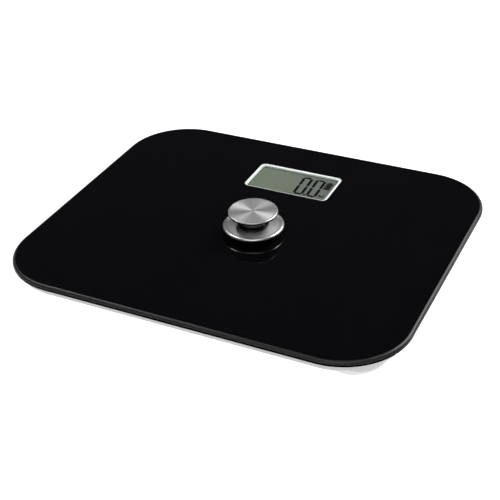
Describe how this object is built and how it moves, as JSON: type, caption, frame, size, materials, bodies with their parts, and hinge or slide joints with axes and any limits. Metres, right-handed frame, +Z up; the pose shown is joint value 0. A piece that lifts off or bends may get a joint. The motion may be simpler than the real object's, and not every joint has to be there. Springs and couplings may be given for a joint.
{
  "type": "digital bathroom scale",
  "caption": "Black glass bathroom scale with a steel push knob that winds a small generator, a display window near the rear edge and load-cell feet.",
  "frame": {"origin": "on the floor, under the centre of the platform, which is the centre of the underside of the bounding box", "axes": "+X along the width, to the right of the person who reads the display; +Y from that person towards the display; +Z up"},
  "size_m": [0.32, 0.27, 0.0402],
  "materials": {
    "platform_glass": "polished tempered glass",
    "black_film": "black print behind the glass",
    "foam_tape": "foam",
    "black_plastic": "moulded",
    "white_plastic": "fine moulded texture",
    "zinc_steel": "zinc plated",
    "gauge_sealant": "sealant",
    "bezel_white": "satin silver-white",
    "lcd_glass": "grey-green display",
    "strip_rubber": "silicone",
    "circuit_board": "solder mask",
    "chip_resin": "epoxy",
    "capacitor_sleeve": "shrink sleeve",
    "component_ceramic": "ceramic",
    "natural_nylon": "moulded",
    "grey_plastic": "moulded",
    "lead_red": "wire insulation",
    "lead_white": "wire insulation",
    "lead_black": "wire insulation",
    "brass": "machined",
    "magnet": "nickel plated magnet",
    "core_steel": "laminated",
    "bobbin_nylon": "moulded",
    "copper_wire": "enamelled copper",
    "spring_steel": "drawn wire",
    "collar_black": "moulded",
    "seal_rubber": "seal",
    "spun_steel": "spun face, polished edge",
    "stem_steel": "satin",
    "foot_rubber": "moulded",
    "foot_grey": "moulded",
    "cell_steel": "bright stamped"
  },
  "bodies": {
    "case": {"glass_platform": "platform_glass", "backing_film": "black_film", "adhesive_tape": "foam_tape", "top_carrier": "black_plastic", "base_tray": "white_plastic", "case_screws": "zinc_steel", "strain_gauges": "gauge_sealant", "display_bezel": "bezel_white", "lcd_panel": "lcd_glass", "lcd_holder": "black_plastic", "contact_strips": "strip_rubber", "main_board": "circuit_board", "control_chip": "chip_resin", "storage_capacitor": "capacitor_sleeve", "board_components": "component_ceramic", "lead_connectors": "natural_nylon", "board_screws": "zinc_steel", "unit_switch": "black_plastic", "leads_red": "lead_red", "leads_white": "lead_white", "leads_black": "lead_black", "generator_base": "black_plastic", "generator_cover": "black_plastic", "generator_screws": "zinc_steel", "idler_axle": "zinc_steel", "stator_core": "core_steel", "coil_bobbin": "bobbin_nylon", "coil_winding": "copper_wire", "return_spring": "spring_steel", "flange_collar": "collar_black", "collar_nut": "black_plastic", "glass_gasket": "seal_rubber", "knob_flange": "spun_steel", "foot_pad_front_left": "foot_rubber", "foot_cup_front_left": "foot_grey", "load_cell_front_left": "cell_steel", "cell_retainer_front_left": "black_plastic", "foot_pad_front_right": "foot_rubber", "foot_cup_front_right": "foot_grey", "load_cell_front_right": "cell_steel", "cell_retainer_front_right": "black_plastic", "foot_pad_rear_left": "foot_rubber", "foot_cup_rear_left": "foot_grey", "load_cell_rear_left": "cell_steel", "cell_retainer_rear_left": "black_plastic", "foot_pad_rear_right": "foot_rubber", "foot_cup_rear_right": "foot_grey", "load_cell_rear_right": "cell_steel", "cell_retainer_rear_right": "black_plastic"},
    "knob": {"knob_cap": "spun_steel", "plunger": "stem_steel", "twist_rod": "brass", "cap_screws": "zinc_steel"},
    "drive": {"drive_gear": "natural_nylon", "drive_nut": "brass"},
    "idler": {"idler_gear": "natural_nylon"},
    "rotor": {"rotor_pinion": "natural_nylon", "rotor_magnet": "magnet", "rotor_shaft": "zinc_steel"},
    "button": {"unit_button": "grey_plastic"}
  },
  "joints": [
    {"name": "knob_press", "type": "slide", "parent": "case", "child": "knob", "axis": [0, 0, -1], "range_m": [0, 0.008], "stiffness_N_per_m": 980, "springref_m": -0.009, "deforming": ["return_spring"]},
    {"name": "drive_spin", "type": "hinge", "parent": "case", "child": "drive", "pos_m": [0.0036, -0.0064, 0.0095], "axis": [0, 0, 1], "range_deg": [0, 121]},
    {"name": "idler_spin", "type": "hinge", "parent": "case", "child": "idler", "pos_m": [0.0252, -0.0064, 0.0095], "axis": [0, 0, 1], "range_deg": [-605, 0]},
    {"name": "rotor_spin", "type": "hinge", "parent": "case", "child": "rotor", "pos_m": [0.0377, -0.0064, 0.0095], "axis": [0, 0, 1], "range_deg": [0, 2420]},
    {"name": "unit_button_press", "type": "slide", "parent": "case", "child": "button", "axis": [0, 0, 1], "range_m": [0, 0.0005], "stiffness_N_per_m": 1000, "springref_m": -0.001}
  ],
  "couplings": [
    {"joint": "drive_spin", "follows": "knob_press", "rad_per_m": 261.8},
    {"joint": "idler_spin", "follows": "knob_press", "rad_per_m": -1309},
    {"joint": "rotor_spin", "follows": "knob_press", "rad_per_m": 5236}
  ]
}
